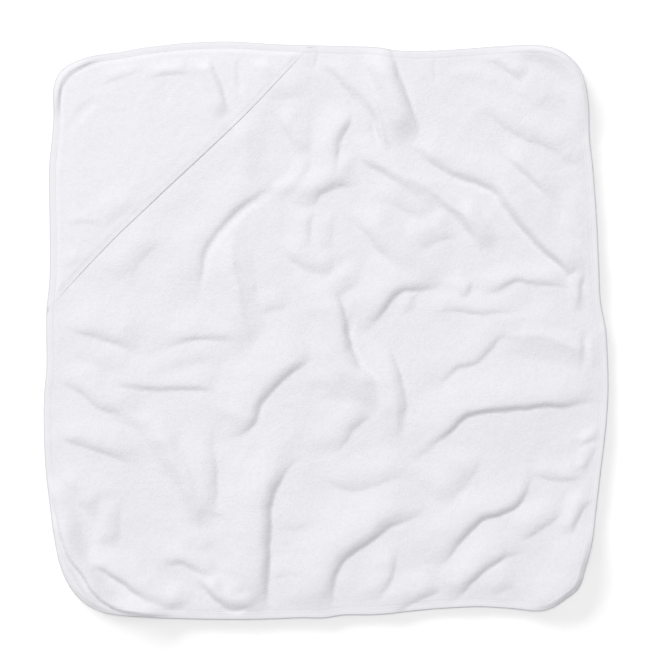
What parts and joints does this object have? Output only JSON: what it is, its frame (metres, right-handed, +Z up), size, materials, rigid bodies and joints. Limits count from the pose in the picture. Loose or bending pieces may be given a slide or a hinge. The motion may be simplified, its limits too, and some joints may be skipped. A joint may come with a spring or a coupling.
{
  "type": "hooded baby towel",
  "caption": "Square white terry baby towel with rounded corners, a triangular hood sewn over one corner and a folded binding tape all round, laid out flat.",
  "frame": {"origin": "middle of the laid-out towel, on the surface it lies on", "axes": "+Z up off the surface, +Y towards the side that the hood's top leg lies on, +X to the right, so the hood covers the corner at -X, +Y"},
  "size_m": [0.742, 0.76, 0.0127],
  "materials": {
    "terry": "matte looped terry pile",
    "hood_terry": "matte looped terry pile, flatter and smoother than the main panel",
    "binding_tape": "matte plain-woven cotton tape",
    "thread": "slightly lustrous sewing thread"
  },
  "bodies": {
    "towel": {"towel_panel": "terry", "edge_binding": "binding_tape", "binding_stitching": "thread", "hood_tack_side": "thread", "hood_tack_top": "thread"},
    "hood": {"hood_panel": "hood_terry", "hood_hem_stitching": "thread"}
  },
  "joints": [
    {"name": "hood_lift", "type": "hinge", "parent": "towel", "child": "hood", "pos_m": [-0.3325, 0.3408, 0.0043], "axis": [-0.7071, -0.7071, 0], "range_deg": [0, 20]}
  ]
}
